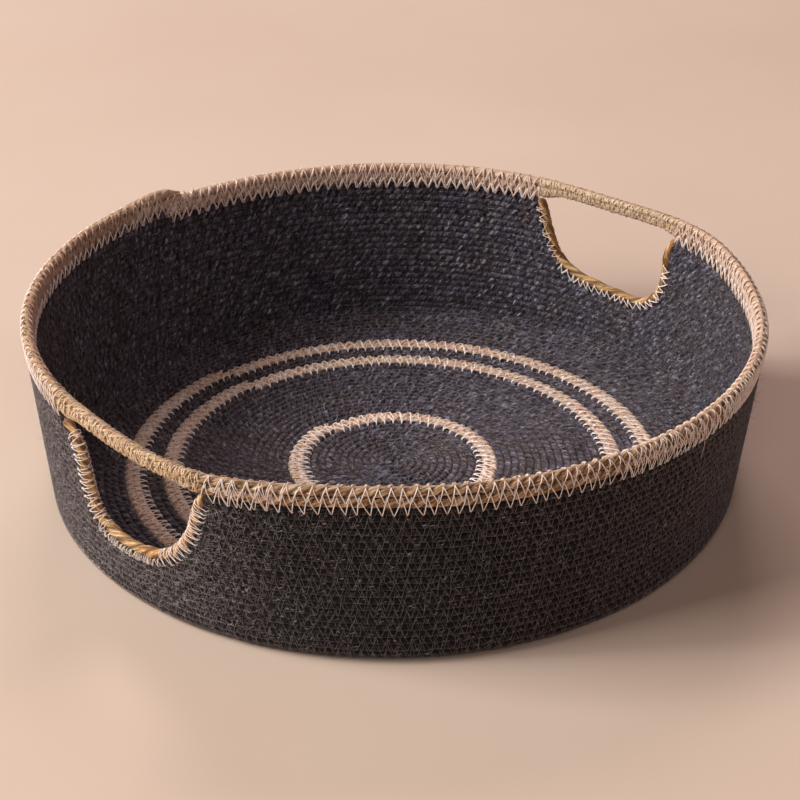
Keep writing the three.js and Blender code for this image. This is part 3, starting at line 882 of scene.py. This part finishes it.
class Binding:
    """The cord round the edge of one opening: its line on the wall, and the ways out and across."""

    def __init__(self, side, opening):
        straight = 0 if side > 0 else 180
        across, up = opening_line(opening).T
        radius = FOOT_RADIUS + up * math.tan(FLARE)
        reach = radius + out_of_round(straight, radius, up)
        degrees = straight + np.degrees(np.arcsin(across / reach))
        reach = radius + out_of_round(degrees, radius, up)
        line = np.stack([side * np.sqrt(reach**2 - across**2), side * across, up], -1) + AXIS
        self.points = evenly(line, BINDING_STEP)
        self.run = run_along(self.points)
        ahead = unit(np.gradient(self.points, axis=0))
        outward = (self.points - AXIS) * [1, 1, 0]
        self.outward = unit(outward - ahead * np.sum(outward * ahead, axis=1, keepdims=True))
        self.away = np.cross(self.outward, ahead)  # away from the opening, over the wall

    def put(self, along, offset, length):
        """Points by distance away from the line, offset outwards and length along the line."""
        at = [
            np.stack([np.interp(length, self.run, field[:, i]) for i in range(3)], -1)
            for field in (self.points, self.away, self.outward)
        ]
        return at[0] + along[..., None] * at[1] + offset[..., None] * at[2]


def bind_opening(name, side, opening, node, lay, crease):
    """The golden cord round one opening."""
    binding = Binding(side, opening)
    total = binding.run[-1]
    length = np.linspace(0, total, int(total * TRIM_COLUMNS / lay))
    around, reach, crease_shade = twisted(length, TRIM_COLUMNS, lay, crease, closed=0, way=-1)
    ends = np.where((length < 1) | (length > total - 1), 0.2, 1)
    half = TRIM_CORD / 2 * ends * (1 + wander(length, every=8, spread=0.06))
    aside = wander(length, every=12, spread=0.2)[:, None]
    along = half[:, None] * reach * np.cos(around) + aside
    outward = wander(length, every=12, spread=0.2)[:, None]
    offset = TRIM_DEEPER * half[:, None] * reach * np.sin(around) + outward
    points = binding.put(along, offset, np.broadcast_to(length[:, None], along.shape))
    share = 0.99 * length / total
    keep = np.ones(len(length) - 1, bool)
    looks = (golden_cord, "natural_seagrass_cord")
    # painted shade in the binding's creases, and no painted light or shade on its faces
    cord = cord_piece(name, points, crease_shade, 0 * crease_shade, length, share, keep, *looks)
    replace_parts(cord, node)
    return binding


ROUND_EDGE = -TRIM_CORD / 2  # where a stitch starts that goes round the edge of an opening


def lace(name, binding, begin, end, pitch, inner, outer, radius, lean=0.45, uneven=0.2,
         thread=pale_thread):
    """Stitches in a V that hold a binding to the wall on both faces, over a stretch of it: from a
    distance over the binding to one over the wall."""
    crowns = [(0, TRIM_CORD / 2, TRIM_CORD * 0.54), (2.6, 3, LAYER / 2), (5, 3, LAYER / 2)]
    path = taut_path(crowns, inner, outer, 8)
    sinks = (0.8, 1.2)
    if inner == ROUND_EDGE:  # round the edge and a little up the other face
        path = np.concatenate([[(-1.5, -TRIM_CORD * 0.4), (-2.75, -0.2)], path[1:]])
        sinks = (-0.3, 1.2)
    low, high = zigzag(begin, end, pitch, lean, uneven)
    spun = dict(pale_sewing, radius=radius, material=thread)
    for face, side in (("outer", 1), ("inner", -1)):
        sew(f"{name}_{face}", binding.put, low, high, path * [1, side], sinks, **spun)


def bind_openings():
    """The two bindings and their lacing, which leaves a stretch of the left one bare."""
    right = bind_opening("right_opening_binding", 1, RIGHT_OPENING, "right_opening_trim", 30, 0.1)
    left = bind_opening("left_opening_binding", -1, LEFT_OPENING, "left_opening_trim", 20, 0.18)
    fine = dict(radius=0.22, thread=dimmed_pale_thread, uneven=0.25)
    lace("right_lace_left", right, 3, 42, 3.9, -1.2, 3.8, **fine)
    lace("right_lace", right, 40, 136, 4.1, 0, 4.6, radius=0.36)
    lace("left_lace_right", left, 4, 63, 3.7, ROUND_EDGE, 5.6, radius=0.21)
    lace("left_lace_bare", left, 60, 103, 1.3, 1.9, 5.8, radius=0.14, lean=-0.3, uneven=0.5)
    lace("left_lace_left", left, 100, 156, 3.6, ROUND_EDGE, 5.2, radius=0.2, uneven=0.22)


def round_fibres(name, first, last, count, longest, radius, material, slot, outside=None):
    """Loose fibres that stand off the cord of some rounds, mostly lying along it: fine curved
    hairs that taper, each from its root in its own way."""
    length = rng.uniform(length_at(first), length_at(last), count)
    turn = turn_at(length)
    around = rng.uniform(0, 2 * math.pi, count)
    if outside:  # only on the outer face, round a place in degrees, and thinner away from it
        degrees = rng.normal(*outside, count)
        turn = np.floor(turn) + (LAP_ANGLE - degrees) / 360 % 1
        around = rng.uniform(0.5, 2.6, count)
    along = middle(turn) + half_width(turn) * np.cos(around)
    roots = place(along, degrees_at(turn), half_thick(turn) * np.sin(around) * 0.95)
    core = core_at(turn)
    onward = unit(place(middle(turn), degrees_at(turn + 0.001), 0 * turn) - core)
    ways = onward * rng.choice([-1, 1], count)[:, None] * 0.8
    ways = ways + unit(roots - core) * rng.uniform(0.1, 1, count)[:, None]
    keep = ~in_opening(roots, TRIM_CORD / 2) | (turn > WALL_ROUNDS)
    roots, ways = roots[keep][:, None], ways[keep][:, None]
    long = rng.gamma(2, longest / 6, len(roots)).clip(0.5, longest)[:, None, None]
    part = np.linspace(0, 1, 4)[None, :, None]
    lines = roots + long * (ways * part + rng.normal(0, 0.45, roots.shape) * part**2)
    return tubes(name, lines, radius, 3, material, slot, taper=0.25)


def loosen_fibres():
    """Fibres all over the bowl, with paler ones painted lit at the left end of the front wall, and
    tufts at its right.
    """
    dark = dict(material=dyed_fibre, slot="dyed_seagrass_cord")
    painted_light = dict(material=lit_dyed_fibre, slot="dyed_seagrass_cord")
    pale = dict(material=natural_fibre, slot="natural_seagrass_cord")
    wall = (47, WALL_ROUNDS - 1)  # the rounds that the painted-lit and tufted places take in
    round_fibres("base_fibres", 1, BASE_ROUNDS, 3000, 3, 0.05, **dark)
    round_fibres("wall_fibres", BASE_ROUNDS, WALL_ROUNDS, 9000, 4, 0.055, **dark)
    # pale copies of the dyed fibres: painted light where the light grazes the wall
    round_fibres("lit_fibres_left", *wall, 4000, 3.5, 0.1, outside=(170, 13), **painted_light)
    round_fibres("lit_fibres_front", *wall, 2500, 3.5, 0.1, outside=(194, 9), **painted_light)
    round_fibres("rim_fibres", WALL_ROUNDS, RIM_ROUNDS, 6000, 4, 0.06, **pale)
    round_fibres("wall_tufts", *wall, 400, 5, 0.12, outside=(304, 9), **dark)


def hang_thread_end():
    """The end of a rim stitch that hangs loose down the outer face."""
    down = np.linspace(WALL_END - 1, WALL_END - 12, 9)
    degrees = 274 + 0.5 * np.sin(np.linspace(0, 4, 9))
    offset = LAYER / 2 + 0.5 + np.linspace(0, 1, 9) ** 2
    line = place(down, degrees, offset)
    tubes("loose_thread_end", line[None], 0.13, 4, dimmed_pale_thread, "pale_sewing_thread")


def make_stage():
    """A plain pale floor."""
    bpy.ops.mesh.primitive_plane_add(size=FLOOR_SIZE, location=(0, 0, 0))
    floor = bpy.context.object
    floor.name = "floor"
    material, tree, shader = new_material("plain plaster floor", 0.7, 0)
    spot = add(tree, "ShaderNodeTexCoord").outputs["Object"]
    cloud = add(tree, "ShaderNodeTexNoise", {"Vector": spot, "Scale": CLOUDS_TO_M, "Detail": 4})
    shade = add(tree, "ShaderNodeValToRGB", {"Fac": cloud.outputs["Fac"]}, FLOOR_SHADES)
    tree.links.new(shade.outputs["Color"], shader.inputs["Base Color"])
    floor.data.materials.append(material)


def make_camera():
    """The camera that took the photograph, as fitted to the bowl's rim, rings and foot."""
    camera = bpy.data.objects.new("camera", bpy.data.cameras.new("camera"))
    bpy.context.scene.collection.objects.link(camera)
    camera.data.lens = CAMERA_LENS
    camera.data.sensor_width = 36
    camera.data.clip_start, camera.data.clip_end = 0.05, 20
    pan, tilt, roll = CAMERA_SMALL_TURNS
    rise = Matrix.Rotation(math.pi / 2 - CAMERA_RISE, 4, "X")
    back = Matrix.Rotation(CAMERA_TURN, 4, "Z") @ rise
    aim = back @ Matrix.Rotation(pan, 4, "Y") @ Matrix.Rotation(tilt, 4, "X")
    aim = aim @ Matrix.Rotation(-roll, 4, "Z")
    seat = Matrix.Translation([AXIS[0] / 1000, AXIS[1] / 1000, 0])
    away = Matrix.Translation((0, 0, CAMERA_DISTANCE / 1000))
    stand = seat @ (back @ away).to_translation().to_4d()
    camera.matrix_world = Matrix.Translation(stand.to_3d()) @ aim
    bpy.context.scene.camera = camera


def soft_light(name, turn, rise, power, tint):
    """A square soft light that faces the bowl."""
    light = bpy.data.lights.new(name, "AREA")
    light.size = LIGHT_SIZE
    light.energy = power
    light.color = srgb(tint)[:3]
    lamp = bpy.data.objects.new(name, light)
    bpy.context.scene.collection.objects.link(lamp)
    turned = Matrix.Rotation(CAMERA_TURN - math.radians(turn), 4, "Z")
    raised = Matrix.Rotation(math.radians(90 - rise), 4, "X")
    lamp.matrix_world = turned @ raised @ Matrix.Translation((0, 0, LIGHT_DISTANCE))


def light_stage():
    """The soft lights, and the faint warm light that comes back from all sides."""
    for light in LIGHTS:
        soft_light(*light)
    world = bpy.data.worlds.new("studio")
    world.use_nodes = True
    background = world.node_tree.nodes["Background"]
    background.inputs["Color"].default_value = srgb(GLOW_COLOUR)
    background.inputs["Strength"].default_value = GLOW
    bpy.context.scene.world = world
    bpy.context.scene.view_settings.view_transform = "Standard"


lay_cord()
sew_rounds()
sew_rim()
bind_openings()
loosen_fibres()
hang_thread_end()
make_stage()
make_camera()
light_stage()
